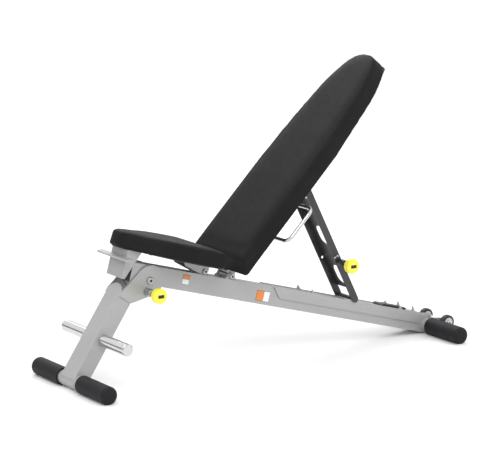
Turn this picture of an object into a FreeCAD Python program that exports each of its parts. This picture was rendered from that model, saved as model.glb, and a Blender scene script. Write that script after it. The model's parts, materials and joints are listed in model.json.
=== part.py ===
import FreeCAD, Part
import math
import os
import re
import Sketcher

# Folding adjustable weight bench.
# X runs from the front foot to the rear wheels, Y across (+Y is the left side), Z up, in millimetres.
# The origin is on the floor, midway between the bench's front and rear ends.
#
# Four tilted frames carry the parts, each an ordinary Placement:
#   rail   origin over the rear foot axis at the rail's top face, X down the rail to the rear, Z square to it
#   leg    origin on the front foot axis, Z up the leg, X to its rear face
#   back   origin on the backrest's pivot, X up the backrest, Z towards the sitter
#   prop   origin on the prop's foot bar, Z up the prop to its pivot, X to its rear face
# A place "at" something along the rail is its distance from the rear foot axis.

Vector = FreeCAD.Vector

DRIVING = [
    # the stance
    ("stance", 1388.0), ("rail_slope", 15.6), ("rail_rise", 35.4), ("back_angle", 45.4),
    # feet
    ("foot_tube_radius", 24.0), ("tube_wall", 2.5), ("sleeve_radius", 29.6), ("sleeve_flat", 1.4),
    ("sleeve_start", 60.0), ("sleeve_end_wall", 8.0), ("sleeve_round", 13.0),
    ("front_foot_half", 232.0), ("rear_foot_half", 234.0),
    # main rail
    ("rail_width", 80.0), ("rail_height", 63.0), ("rail_wall", 3.0), ("rail_length", 1240.0),
    ("rail_end_gap", 12.0), ("plug_depth", 14.0), ("plug_flange", 3.0),
    # front leg and its pivot
    ("leg_pivot_at", 1167.0), ("leg_pivot_drop", 48.0), ("leg_pivot_offset", 48.0),
    ("leg_width", 83.0), ("leg_depth", 52.0), ("leg_wall", 3.0), ("leg_length", 318.0),
    ("leg_cap_rise", 24.0), ("yoke_thick", 5.0), ("yoke_radius", 50.0), ("yoke_lap", 16.0),
    ("leg_bolt_radius", 8.0), ("leg_bush_radius", 11.0), ("lug_thick", 6.0), ("lug_radius", 46.0),
    ("pin_orbit", 36.6), ("pin_bearing", 14.0),
    # foot-hold bar
    ("bar_up_leg", 155.0), ("bar_radius", 20.0), ("bar_half", 188.0), ("bar_cap", 8.0), ("bar_cap_round", 5.0),
    # pull pins
    ("plunger_radius", 5.0), ("barrel_radius", 13.0), ("barrel_length", 34.0), ("knob_radius", 25.0),
    ("knob_face", 134.0), ("knob_length", 29.0), ("knob_neck", 12.0), ("knob_round", 7.0),
    ("pin_travel", 10.0), ("pin_gap", 0.4),
    # seat
    ("seat_pivot_at", 960.0), ("pivot_rise", 11.0), ("seat_clearance", 36.4), ("pad_thick", 55.0),
    ("seat_front_at", 1307.0), ("seat_mid_at", 1146.0), ("seat_wide_at", 1036.0), ("seat_rear_at", 963.0),
    ("seat_front_half", 44.0), ("seat_mid_half", 141.0), ("seat_wide_half", 163.0), ("seat_rear_half", 166.0),
    ("board_thick", 12.0), ("board_inset", 15.0), ("pad_round", 10.0), ("pad_under_round", 7.0),
    ("seat_corner", 30.0),
    ("nose_at", 1276.0), ("nose_half", 47.0), ("nose_thick", 5.0), ("nose_drop", 57.0), ("nose_foot", 12.0),
    ("nose_head", 54.0), ("grip_half", 100.0), ("grip_depth", 26.0), ("grip_thick", 7.0), ("grip_rise", 11.0),
    ("small_bolt", 6.0), ("bolt_head", 9.5), ("head_thick", 6.0), ("plate", 5.0),
    ("seat_lug_inner", 24.0), ("hinge_plate_long", 92.0),
    # backrest
    ("back_pivot_at", 852.0), ("back_lug_inner", 30.3), ("back_lug_radius", 13.0), ("hinge_tube_radius", 10.0),
    ("hinge_tube_half", 29.5), ("spine_width", 56.0), ("spine_height", 30.0), ("spine_length", 610.0),
    ("spine_wall", 2.5), ("pad_drop", 22.5), ("back_thick", 60.0),
    ("back_foot", -2.0), ("back_foot_slant", 38.0), ("back_shoulder", 512.0), ("back_taper_end", 776.0),
    ("back_head", 892.0), ("back_half", 153.0), ("back_taper_half", 115.0), ("back_head_half", 58.0),
    ("back_head_round", 58.0), ("back_foot_round", 20.0),
    ("handle_radius", 6.4), ("handle_low", 178.0), ("handle_high", 316.0), ("handle_reach", 178.0),
    ("handle_bend", 24.0), ("handle_level", -1.0),
    # prop
    ("prop_pivot_up", 400.4), ("prop_pivot_level", 7.5), ("prop_foot_at", 342.6), ("prop_half", 51.0),
    ("prop_wall", 4.0), ("prop_back", 12.0), ("prop_front", 13.0), ("prop_bar_radius", 6.4),
    ("prop_web_low", 34.0), ("prop_web_gap", 84.0), ("prop_hole_half", 24.0), ("prop_hole_long", 75.0),
    ("prop_hole_low", 87.0), ("prop_hole_high", 248.0), ("prop_pin_up", 152.5), ("spacer_radius", 10.5),
    # racks on the rail
    ("rack_thick", 5.0), ("rack_front_at", 682.0), ("rack_rear_at", 42.0), ("rack_drop", 33.0),
    ("rack_lip", 3.0), ("tooth_height", 16.0), ("tooth_base", 15.0), ("hook_height", 21.0),
    ("tooth_steep_at", 531.0), ("tooth_low_at", 149.0), ("tooth_flat_at", 92.0), ("tooth_gap", 0.4),
    ("rack_pad_at", 205.0), ("rack_pad_long", 105.0), ("rack_pad_half", 26.0), ("rack_pad_thick", 9.0),
    # transport wheels
    ("wheel_back", 70.4), ("wheel_up", 4.9), ("wheel_radius", 25.5), ("wheel_width", 20.0), ("wheel_inner", 50.0),
    ("hub_radius", 17.0), ("axle_radius", 5.0), ("axle_half", 71.0), ("wheel_lug_inner", 40.0),
    ("fit_gap", 0.06), ("side_gap", 0.4),
]

size = dict(DRIVING)
slope = math.radians(size["rail_slope"])
foot_height = size["sleeve_radius"] - size["sleeve_flat"]
front_end = -size["sleeve_radius"]
rear_end = size["stance"] + size["wheel_back"] + size["wheel_radius"]
middle = (front_end + rear_end) / 2


def world(x, z):
    """A point of the XZ plane, given from the front foot axis and the floor, in the bench's own frame."""
    return Vector(x - middle, 0, z)


def turned(origin, degrees):
    """A frame at origin, turned about Y: a positive angle tips its X axis downwards."""
    return FreeCAD.Placement(origin, FreeCAD.Rotation(Vector(0, 1, 0), degrees))


rear_foot = world(size["stance"], foot_height)
front_foot = world(0, foot_height)
rail_frame = turned(
    rear_foot + Vector(math.sin(slope), 0, math.cos(slope)) * size["rail_rise"], size["rail_slope"])


def on_rail(at, height):
    """The point at a distance up the rail from the rear foot axis, and a height over the rail's top."""
    return rail_frame.multVec(Vector(-at, 0, height))


# The leg's lean follows from where its pivot is and how far that is behind the leg's centre line.
leg_pivot = on_rail(size["leg_pivot_at"], -size["leg_pivot_drop"])
to_pivot = leg_pivot - front_foot
lean_of_pivot = math.degrees(math.atan2(to_pivot.x, to_pivot.z))
leg_lean = lean_of_pivot - math.degrees(math.asin(size["leg_pivot_offset"] / to_pivot.Length))
leg_reach = math.sqrt(to_pivot.Length ** 2 - size["leg_pivot_offset"] ** 2)
leg_frame = turned(front_foot, leg_lean)

back_pivot = on_rail(size["back_pivot_at"], size["pivot_rise"])
back_frame = turned(back_pivot, -size["back_angle"])

# The prop runs from its foot bar, which lies on the racks, to its pivot on the backrest's spine.
bar_height = size["rack_lip"] + size["tooth_gap"] + size["prop_bar_radius"]
prop_foot = on_rail(size["prop_foot_at"], bar_height)
prop_pivot = back_frame.multVec(Vector(size["prop_pivot_up"], 0, size["prop_pivot_level"]))
along_prop = prop_pivot - prop_foot
prop_frame = turned(prop_foot, math.degrees(math.atan2(along_prop.x, along_prop.z)))


def tangent_point(x, z, centre_x, centre_z, radius, side):
    """Where the line from (x, z) touches a circle; side is 1 for its left edge and -1 for its right."""
    reach = math.hypot(centre_x - x, centre_z - z)
    heading = math.atan2(centre_z - z, centre_x - x) + side * math.asin(radius / reach)
    run = math.sqrt(reach ** 2 - radius ** 2)
    return x + run * math.cos(heading), z + run * math.sin(heading)


yoke_start = size["leg_length"] - size["yoke_lap"]
yoke_front = tangent_point(-size["leg_depth"] / 2, yoke_start + size["yoke_lap"],
                           size["leg_pivot_offset"], leg_reach, size["yoke_radius"], 1)
yoke_rear = tangent_point(size["leg_depth"] / 2, yoke_start,
                          size["leg_pivot_offset"], leg_reach, size["yoke_radius"], -1)
pin_angle = math.radians(size["pin_bearing"])

cap_radius = (size["leg_width"] ** 2 / 4 + size["leg_cap_rise"] ** 2) / (2 * size["leg_cap_rise"])

DERIVED = [
    ("cap_radius", cap_radius),
    ("leg_reach", leg_reach),
    ("yoke_front_x", yoke_front[0]), ("yoke_front_z", yoke_front[1]),
    ("yoke_rear_x", yoke_rear[0]), ("yoke_rear_z", yoke_rear[1]),
    ("pin_x", size["leg_pivot_offset"] + size["pin_orbit"] * math.sin(pin_angle)),
    ("pin_z", leg_reach - size["pin_orbit"] * math.cos(pin_angle)),
    ("prop_length", along_prop.Length),
]

# ------------------------------------------------------------------ the document and its sheet

doc = FreeCAD.newDocument("weight_bench")
sheet = doc.addObject("Spreadsheet::Sheet", "Dims")
for row, (alias, value) in enumerate(DRIVING + DERIVED, start=1):
    sheet.set("A%d" % row, alias)
    sheet.set("B%d" % row, "%.6f" % value)
    sheet.setAlias("B%d" % row, alias)
doc.recompute()
NAMES = {alias for alias, value in DRIVING + DERIVED}
bodies = []


def formula(text):
    """An expression on the sheet, from one written with bare names."""
    return re.sub(r"[a-z_]+", lambda word: "Dims." + word.group() if word.group() in NAMES else word.group(),
                  str(text))


def number(text):
    """The value of an expression on the sheet."""
    return float(sheet.evalExpression(formula(text)))


def new_body(label, place):
    body = doc.addObject("PartDesign::Body", label)
    body.Label = label
    body.Placement = place
    bodies.append(body)
    return body


def origin_part(body, role):
    return [item for item in body.Origin.OriginFeatures if item.Role == role][0]


def sketch_on(body, name, role, offset):
    """An empty sketch on one of the body's own planes, moved along its normal by an expression."""
    sketch = body.newObject("Sketcher::SketchObject", name)
    sketch.AttachmentSupport = [(origin_part(body, role), "")]
    sketch.MapMode = "FlatFace"
    sketch.setExpression("AttachmentOffset.Base.z", formula(offset))
    return sketch


def hold(sketch, geometry, point, x, z):
    """Fixes one point of the sketch at two expressions."""
    for kind, text in (("DistanceX", x), ("DistanceY", z)):
        rule = sketch.addConstraint(Sketcher.Constraint(kind, -1, 1, geometry, point, number(text)))
        sketch.setExpression("Constraints[%d]" % rule, formula(text))


def add_polygon(sketch, points):
    start = sketch.GeometryCount
    spots = [Vector(number(x), number(z), 0) for x, z in points]
    for index, spot in enumerate(spots):
        sketch.addGeometry(Part.LineSegment(spot, spots[(index + 1) % len(spots)]), False)
    for index in range(len(spots)):
        following = start + (index + 1) % len(spots)
        sketch.addConstraint(Sketcher.Constraint("Coincident", start + index, 2, following, 1))
    for index, (x, z) in enumerate(points):
        hold(sketch, start + index, 1, x, z)


def add_circle(sketch, x, z, radius):
    index = sketch.addGeometry(
        Part.Circle(Vector(number(x), number(z), 0), Vector(0, 0, 1), number(radius)), False)
    hold(sketch, index, 3, x, z)
    rule = sketch.addConstraint(Sketcher.Constraint("Radius", index, number(radius)))
    sketch.setExpression("Constraints[%d]" % rule, formula(radius))


def draw(body, name, role, polygons=(), circles=(), offset="0"):
    sketch = sketch_on(body, name + "_sketch", role, offset)
    for points in polygons:
        add_polygon(sketch, points)
    for circle in circles:
        add_circle(sketch, *circle)
    doc.recompute()
    return sketch


def pad(body, name, role, length, polygons=(), circles=(), offset="0", side="Symmetric"):
    """Adds material: symmetric about its plane, or along the plane's normal from it."""
    feature = body.newObject("PartDesign::Pad", name)
    feature.Profile = draw(body, name, role, polygons, circles, offset)
    feature.SideType = side
    feature.setExpression("Length", formula(length))
    doc.recompute()
    return feature


def pocket(body, name, role, polygons=(), circles=(), length=None, offset="0", reverse=False):
    """Removes material, right through unless a length is given, and checks that some has gone."""
    before = body.Shape.Volume
    feature = body.newObject("PartDesign::Pocket", name)
    feature.Profile = draw(body, name, role, polygons, circles, offset)
    if length is None:
        feature.Type = "ThroughAll"
        feature.SideType = "Symmetric"
    else:
        feature.SideType = "Symmetric" if offset == "0" else "One side"
        feature.Reversed = reverse
        feature.setExpression("Length", formula(length))
    doc.recompute()
    if not body.Shape.Volume < before - 0.5:
        raise RuntimeError("%s removes nothing from %s" % (name, body.Label))
    return feature


def revolve(body, name, points):
    """Turns a profile about Y: each point is a radius and a place along Y."""
    feature = body.newObject("PartDesign::Revolution", name)
    feature.Profile = draw(body, name, "XY_Plane", [points])
    feature.ReferenceAxis = (origin_part(body, "Y_Axis"), [""])
    feature.Angle = 360
    doc.recompute()
    return feature


def round_edges(body, name, radius, wanted):
    """Rounds each edge of the body's tip whose bounding box passes the test."""
    tip = body.Tip
    chosen = ["Edge%d" % (index + 1) for index, edge in enumerate(tip.Shape.Edges) if wanted(edge.BoundBox)]
    if not chosen:
        raise RuntimeError("%s finds no edge on %s" % (name, body.Label))
    feature = body.newObject("PartDesign::Fillet", name)
    feature.Base = (tip, chosen)
    feature.setExpression("Radius", formula(radius))
    doc.recompute()
    return feature


def near(value, target):
    return abs(value - target) < 0.01


def box_points(left, bottom, right, top):
    return [(left, bottom), (right, bottom), (right, top), (left, top)]


def tube_loops(width, height, wall, top):
    """An outer and an inner rectangle, centred across, hanging from an expression for the top."""
    return [
        box_points("-(%s)/2" % width, "%s - %s" % (top, height), "(%s)/2" % width, top),
        box_points("-(%s)/2 + %s" % (width, wall), "%s - %s + %s" % (top, height, wall),
                   "(%s)/2 - %s" % (width, wall), "%s - %s" % (top, wall)),
    ]


SIDES = (("left", 1), ("right", -1))


def side_offset(sign, inner, thick):
    """The XZ plane's normal is -Y, so a plate on the left starts at its outer face."""
    return inner if sign < 0 else "-(%s + %s)" % (inner, thick)


# ------------------------------------------------------------------ feet

def foot(prefix, place, half):
    """A cross tube with a rubber sleeve pushed on each end; a narrow flat keeps the sleeve on the floor."""
    tube = new_body(prefix + "_foot_tube", place)
    pad(tube, prefix + "_tube", "XZ_Plane", "2*(%s - sleeve_end_wall)" % half,
        circles=[("0", "0", "foot_tube_radius"), ("0", "0", "foot_tube_radius - tube_wall")])
    for side, sign in SIDES:
        sleeve = new_body("%s_foot_sleeve_%s" % (prefix, side), place)
        end = "%d*%s" % (sign, half)
        inner = "%d*(%s - sleeve_end_wall)" % (sign, half)
        start = "%d*sleeve_start" % sign
        revolve(sleeve, "%s_sleeve_%s" % (prefix, side), [
            ("foot_tube_radius", start), ("sleeve_radius", start), ("sleeve_radius", end),
            ("0", end), ("0", inner), ("foot_tube_radius", inner)])
        end_y = number(end)
        round_edges(sleeve, "%s_end_round_%s" % (prefix, side), "sleeve_round",
                    lambda box: near(box.YMin, end_y) and near(box.YMax, end_y) and box.XLength > 1)
        pocket(sleeve, "%s_floor_flat_%s" % (prefix, side), "XZ_Plane",
               [box_points("-sleeve_radius", "-sleeve_radius - 1", "sleeve_radius",
                           "sleeve_flat - sleeve_radius")])


foot("rear", turned(rear_foot, 0), "rear_foot_half")
foot("front", turned(front_foot, 0), "front_foot_half")

# ------------------------------------------------------------------ main rail

rail = new_body("main_rail", rail_frame)
pad(rail, "rail_tube", "YZ_Plane", "rail_length - rail_end_gap",
    tube_loops("rail_width", "rail_height", "rail_wall", "0"), offset="-rail_length", side="One side")
pocket(rail, "foot_saddle", "XZ_Plane", circles=[("0", "-rail_rise", "foot_tube_radius")])
pocket(rail, "bushing_seat", "XZ_Plane", circles=[("-leg_pivot_at", "-leg_pivot_drop", "leg_bush_radius")])

plug = new_body("rail_front_plug", rail_frame)
pad(plug, "plug_body", "YZ_Plane", "plug_depth",
    [box_points("-rail_width/2 + rail_wall", "-rail_height + rail_wall",
                "rail_width/2 - rail_wall", "-rail_wall")], offset="-rail_length", side="One side")
pad(plug, "plug_face", "YZ_Plane", "plug_flange",
    [box_points("-rail_width/2", "-rail_height", "rail_width/2", "0")],
    offset="-rail_length - plug_flange", side="One side")

bushing = new_body("leg_pivot_bushing", turned(leg_pivot, 0))
pad(bushing, "bushing_tube", "XZ_Plane", "rail_width",
    circles=[("0", "0", "leg_bush_radius"), ("0", "0", "leg_bolt_radius + fit_gap")])

for side, sign in SIDES:
    lug = new_body("leg_lug_" + side, rail_frame)
    pad(lug, "lug_disc_" + side, "XZ_Plane", "lug_thick",
        circles=[("-leg_pivot_at", "-leg_pivot_drop", "lug_radius")],
        offset=side_offset(sign, "rail_width/2 - lug_thick", "lug_thick"), side="One side")
    pocket(lug, "lug_seat_" + side, "XZ_Plane",
           [box_points("-leg_pivot_at - 2*lug_radius", "-rail_height",
                       "-leg_pivot_at + 2*lug_radius", "lug_radius")])

# ------------------------------------------------------------------ racks that hold the prop's foot bar

TEETH = (("tooth_steep_at", "tooth_height"), ("prop_foot_at", "tooth_height"),
         ("tooth_low_at", "tooth_height"), ("tooth_flat_at", "hook_height"))


def rack_outline():
    """The plate's edge, with each tooth just behind the place where the foot bar rests."""
    outline = [("-rack_front_at + rack_drop", "-rack_drop"), ("-rack_front_at", "rack_lip")]
    for at, height in TEETH:
        face = "-%s + prop_bar_radius + tooth_gap" % at
        outline += [(face, "rack_lip"), (face, height), ("%s + tooth_base" % face, "rack_lip")]
    outline += [("-rack_rear_at", "rack_lip"), ("-rack_rear_at", "-rack_drop")]
    return outline


for side, sign in SIDES:
    rack = new_body("rack_" + side, rail_frame)
    pad(rack, "rack_plate_" + side, "XZ_Plane", "rack_thick", [rack_outline()],
        offset=side_offset(sign, "rail_width/2", "rack_thick"), side="One side")

rack_pad = new_body("rack_pad", rail_frame)
pad(rack_pad, "rack_pad_block", "XZ_Plane", "2*rack_pad_half",
    [box_points("-rack_pad_at", "0", "-rack_pad_at + rack_pad_long", "rack_pad_thick")])
pad_front = -size["rack_pad_at"]
round_edges(rack_pad, "rack_pad_nose", "rack_pad_thick - 1",
            lambda box: near(box.XMax, pad_front) and near(box.ZMin, size["rack_pad_thick"]))

# ------------------------------------------------------------------ pivots on the rail's top face


def shoulder_bolt(label, place, radius, half):
    """A bolt across the bench with a round head on each end."""
    bolt = new_body(label, place)
    pad(bolt, label + "_shank", "XZ_Plane", "2*(%s)" % half, circles=[("0", "0", radius)])
    for side, sign in SIDES:
        pad(bolt, "%s_head_%s" % (label, side), "XZ_Plane", "head_thick",
            circles=[("0", "0", "bolt_head*(%s)/small_bolt" % radius)],
            offset=side_offset(sign, half, "head_thick"), side="One side")
    for side, sign in SIDES:
        outer = sign * number("%s + head_thick" % half)
        round_edges(bolt, "%s_round_%s" % (label, side), "head_thick/2",
                    lambda box: near(box.YMin, outer) and near(box.YMax, outer))


for side, sign in SIDES:
    lug = new_body("seat_lug_" + side, rail_frame)
    pad(lug, "seat_lug_plate_" + side, "XZ_Plane", "plate",
        [[("-seat_pivot_at - 18", "0"), ("-seat_pivot_at + 18", "0"), ("-seat_pivot_at + 8", "2*pivot_rise"),
          ("-seat_pivot_at - 8", "2*pivot_rise")]],
        offset=side_offset(sign, "seat_lug_inner", "plate"), side="One side")
    pocket(lug, "seat_lug_hole_" + side, "XZ_Plane", circles=[("-seat_pivot_at", "pivot_rise", "small_bolt")])
    lug = new_body("back_lug_" + side, rail_frame)
    pad(lug, "back_lug_plate_" + side, "XZ_Plane", "plate",
        [[("-back_pivot_at - 24", "0"), ("-back_pivot_at + 24", "0"),
          ("-back_pivot_at + back_lug_radius", "pivot_rise"),
          ("-back_pivot_at - back_lug_radius", "pivot_rise")]],
        offset=side_offset(sign, "back_lug_inner", "plate"), side="One side")
    pad(lug, "back_lug_disc_" + side, "XZ_Plane", "plate",
        circles=[("-back_pivot_at", "pivot_rise", "back_lug_radius")],
        offset=side_offset(sign, "back_lug_inner", "plate"), side="One side")
    pocket(lug, "back_lug_floor_" + side, "XZ_Plane",
           [box_points("-back_pivot_at - 30", "-back_lug_radius", "-back_pivot_at + 30", "0")])
    pocket(lug, "back_lug_hole_" + side, "XZ_Plane", circles=[("-back_pivot_at", "pivot_rise", "small_bolt")])

seat_pivot = on_rail(size["seat_pivot_at"], size["pivot_rise"])
shoulder_bolt("seat_pivot_bolt", turned(seat_pivot, 0), "small_bolt", "seat_lug_inner + 2*plate + 2*side_gap")
shoulder_bolt("back_pivot_bolt", turned(back_pivot, 0), "small_bolt", "back_lug_inner + plate")

# ------------------------------------------------------------------ transport wheels

for side, sign in SIDES:
    lug = new_body("wheel_lug_" + side, turned(rear_foot, 0))
    pad(lug, "wheel_lug_plate_" + side, "XZ_Plane", "plate",
        [[("0", "-foot_tube_radius*0.6"), ("wheel_back", "wheel_up - 12"), ("wheel_back", "wheel_up + 12"),
          ("0", "foot_tube_radius + 4")]],
        offset=side_offset(sign, "wheel_lug_inner", "plate"), side="One side")
    pad(lug, "wheel_lug_end_" + side, "XZ_Plane", "plate", circles=[("wheel_back", "wheel_up", "12")],
        offset=side_offset(sign, "wheel_lug_inner", "plate"), side="One side")
    pocket(lug, "wheel_lug_saddle_" + side, "XZ_Plane", circles=[("0", "0", "foot_tube_radius")])
    pocket(lug, "wheel_lug_hole_" + side, "XZ_Plane", circles=[("wheel_back", "wheel_up", "axle_radius")])

wheel_centre = rear_foot + Vector(size["wheel_back"], 0, size["wheel_up"])
shoulder_bolt("wheel_axle", turned(wheel_centre, 0), "axle_radius", "axle_half")

for side, sign in SIDES:
    tyre = new_body("wheel_tyre_" + side, turned(wheel_centre, 0))
    inner = "%d*wheel_inner" % sign
    outer = "%d*(wheel_inner + wheel_width)" % sign
    revolve(tyre, "tyre_ring_" + side, [
        ("hub_radius", inner), ("wheel_radius", inner), ("wheel_radius", outer), ("hub_radius", outer)])
    round_edges(tyre, "tyre_round_" + side, "4", lambda box: near(box.XMax, size["wheel_radius"])
                and near(box.YLength, 0))
    hub = new_body("wheel_hub_" + side, turned(wheel_centre, 0))
    revolve(hub, "hub_ring_" + side, [
        ("axle_radius + fit_gap", inner), ("hub_radius", inner), ("hub_radius", outer),
        ("axle_radius + fit_gap", outer)])

# ------------------------------------------------------------------ front leg

leg = new_body("leg_tube", leg_frame)
pad(leg, "leg_section", "XY_Plane", "leg_length",
    [box_points("-leg_depth/2", "-leg_width/2", "leg_depth/2", "leg_width/2"),
     box_points("-leg_depth/2 + leg_wall", "-leg_width/2 + leg_wall",
                "leg_depth/2 - leg_wall", "leg_width/2 - leg_wall")], side="One side")
pocket(leg, "leg_saddle", "XZ_Plane", circles=[("0", "0", "foot_tube_radius")])
pocket(leg, "bar_hole", "XZ_Plane", circles=[("0", "bar_up_leg", "bar_radius")])

cap = new_body("leg_top_cap", leg_frame)
pad(cap, "cap_arch", "YZ_Plane", "leg_depth",
    circles=[("0", "leg_length + leg_cap_rise - cap_radius", "cap_radius")])
pocket(cap, "cap_base", "YZ_Plane",
       [box_points("-leg_width", "leg_length - 2*cap_radius", "leg_width", "leg_length")])

for side, sign in SIDES:
    yoke = new_body("yoke_plate_" + side, leg_frame)
    place = side_offset(sign, "leg_width/2", "yoke_thick")
    pad(yoke, "yoke_tongue_" + side, "XZ_Plane", "yoke_thick", [[
        ("-leg_depth/2", "leg_length - yoke_lap"), ("leg_depth/2", "leg_length - yoke_lap"),
        ("yoke_rear_x", "yoke_rear_z"), ("leg_pivot_offset", "leg_reach"),
        ("yoke_front_x", "yoke_front_z"), ("-leg_depth/2", "leg_length")]], offset=place, side="One side")
    pad(yoke, "yoke_disc_" + side, "XZ_Plane", "yoke_thick",
        circles=[("leg_pivot_offset", "leg_reach", "yoke_radius")], offset=place, side="One side")
    pocket(yoke, "yoke_bore_" + side, "XZ_Plane",
           circles=[("leg_pivot_offset", "leg_reach", "leg_bolt_radius")])
    pocket(yoke, "yoke_pin_bore_" + side, "XZ_Plane",
           circles=[("pin_x", "pin_z", "plunger_radius + fit_gap")])

shoulder_bolt("leg_pivot_bolt", turned(leg_pivot, leg_lean), "leg_bolt_radius", "leg_width/2 + yoke_thick")

bar = new_body("foot_hold_bar", leg_frame)
pad(bar, "bar_tube", "XZ_Plane", "2*bar_half",
    circles=[("0", "bar_up_leg", "bar_radius"), ("0", "bar_up_leg", "bar_radius - tube_wall")])
bar_frame = turned(leg_frame.multVec(Vector(0, 0, size["bar_up_leg"])), leg_lean)
for side, sign in SIDES:
    end_cap = new_body("foot_hold_cap_" + side, bar_frame)
    pad(end_cap, "end_cap_disc_" + side, "XZ_Plane", "bar_cap", circles=[("0", "0", "bar_radius")],
        offset=side_offset(sign, "bar_half", "bar_cap"), side="One side")
    outer = sign * number("bar_half + bar_cap")
    round_edges(end_cap, "end_cap_round_" + side, "bar_cap_round",
                lambda box: near(box.YMin, outer) and near(box.YMax, outer))

# ------------------------------------------------------------------ pull pins


def pull_pin(prefix, place, plate_outer, plate_thick):
    """A spring plunger on the right side: a fixed barrel, and a rod and a knob that pull out together."""
    barrel = new_body(prefix + "_pin_barrel", place)
    pad(barrel, prefix + "_barrel", "XZ_Plane", "barrel_length",
        circles=[("0", "0", "barrel_radius"), ("0", "0", "plunger_radius + fit_gap")],
        offset=plate_outer, side="One side")
    mouth = -number("%s + barrel_length" % plate_outer)
    round_edges(barrel, prefix + "_barrel_round", "3",
                lambda box: near(box.YMin, mouth) and near(box.YMax, mouth) and box.XLength > 20)
    rod = new_body(prefix + "_pin_plunger", place)
    inner = "%s - %s + pin_gap" % (plate_outer, plate_thick)
    pad(rod, prefix + "_rod", "XZ_Plane", "knob_face - knob_length + knob_neck - (%s)" % inner,
        circles=[("0", "0", "plunger_radius")], offset=inner, side="One side")
    knob = new_body(prefix + "_pin_knob", place)
    back = "-(knob_face - knob_length)"
    revolve(knob, prefix + "_knob", [
        ("0", "%s - knob_neck" % back), ("plunger_radius", "%s - knob_neck" % back), ("plunger_radius", back),
        ("knob_radius*0.56", back), ("knob_radius", "%s - knob_length*0.25" % back),
        ("knob_radius", "-knob_face"), ("0", "-knob_face")])
    face = -size["knob_face"]
    round_edges(knob, prefix + "_knob_round", "knob_round",
                lambda box: near(box.XMax, size["knob_radius"]) and near(box.YMin, face)
                and near(box.YMax, face))


pin_place = turned(leg_frame.multVec(Vector(number("pin_x"), 0, number("pin_z"))), leg_lean)
pull_pin("leg", pin_place, "leg_width/2 + yoke_thick", "yoke_thick")

# ------------------------------------------------------------------ seat


def seat_outline(inset):
    """The seat in plan, narrow at the front and widest at the rear."""
    half = [("-seat_front_at + %s" % inset, "seat_front_half - %s" % inset),
            ("-seat_mid_at", "seat_mid_half - %s" % inset),
            ("-seat_wide_at", "seat_wide_half - %s" % inset),
            ("-seat_rear_at - %s" % inset, "seat_rear_half - %s" % inset)]
    return half + [(x, "-(%s)" % y) for x, y in reversed(half)]


seat_pad = new_body("seat_pad", rail_frame)
pad(seat_pad, "seat_cushion", "XY_Plane", "pad_thick", [seat_outline("0")],
    offset="seat_clearance", side="One side")
pad_top = number("seat_clearance + pad_thick")
pad_under = number("seat_clearance")
upright = number("pad_thick")
round_edges(seat_pad, "seat_corners", "seat_corner",
            lambda box: near(box.ZLength, upright) and (box.XMax > -size["seat_rear_at"] - 1
                                                        or box.XMin < -size["seat_front_at"] + 1))
round_edges(seat_pad, "seat_top_round", "pad_round", lambda box: near(box.ZMin, pad_top))
round_edges(seat_pad, "seat_under_round", "pad_under_round", lambda box: near(box.ZMax, pad_under))
pocket(seat_pad, "seat_board_recess", "XY_Plane", [seat_outline("board_inset")],
       length="board_thick", offset="seat_clearance", reverse=True)

seat_board = new_body("seat_board", rail_frame)
pad(seat_board, "seat_plywood", "XY_Plane", "board_thick", [seat_outline("board_inset")],
    offset="seat_clearance", side="One side")

nose = new_body("seat_nose_bracket", rail_frame)
pad(nose, "nose_sides", "XZ_Plane", "2*nose_half",
    [[("-nose_at", "-nose_drop"), ("-nose_at + nose_foot", "-nose_drop"),
      ("-nose_at + nose_head", "seat_clearance"), ("-nose_at", "seat_clearance")]])
pocket(nose, "nose_inside", "XZ_Plane",
       [box_points("-nose_at + nose_thick", "-nose_drop - 1", "-nose_at + nose_head + 1",
                   "seat_clearance - nose_thick")], length="2*(nose_half - nose_thick)")

grip_frame = turned(on_rail(size["nose_at"], size["grip_rise"]), 0)
grip = new_body("seat_lift_handle", grip_frame)
pad(grip, "grip_bar", "XY_Plane", "grip_thick", [box_points("-grip_depth", "-grip_half", "-0.15*grip_thick", "grip_half")])
round_edges(grip, "grip_ends", "grip_depth*0.45", lambda box: near(box.ZLength, size["grip_thick"]))
round_edges(grip, "grip_rim", "grip_thick*0.35",
            lambda box: near(box.ZLength, 0) and (box.XMin < -0.1 - size["grip_depth"] * 0.5))

for side, sign in SIDES:
    hinge = new_body("seat_hinge_plate_" + side, rail_frame)
    pad(hinge, "hinge_plate_" + side, "XZ_Plane", "plate",
        [[("-seat_pivot_at - hinge_plate_long", "seat_clearance"),
          ("-seat_pivot_at - hinge_plate_long + 12", "0.5*seat_clearance"),
          ("-seat_pivot_at - 12", "side_gap"), ("-seat_pivot_at", "side_gap"),
          ("-seat_pivot_at + 14", "pivot_rise"), ("-seat_pivot_at + 14", "seat_clearance")]],
        offset=side_offset(sign, "seat_lug_inner + plate + side_gap", "plate"), side="One side")
    pocket(hinge, "hinge_bore_" + side, "XZ_Plane",
           circles=[("-seat_pivot_at", "pivot_rise", "small_bolt + fit_gap")])

# ------------------------------------------------------------------ backrest


def back_outline(inset):
    """The backrest in plan: parallel sides, then a taper to a rounded head."""
    half = [("back_foot + %s" % inset, "back_half - %s" % inset),
            ("back_shoulder", "back_half - %s" % inset),
            ("back_taper_end", "back_taper_half - %s" % inset),
            ("back_head - %s" % inset, "back_head_half")]
    return half + [(x, "-(%s)" % y) for x, y in reversed(half)]


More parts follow.
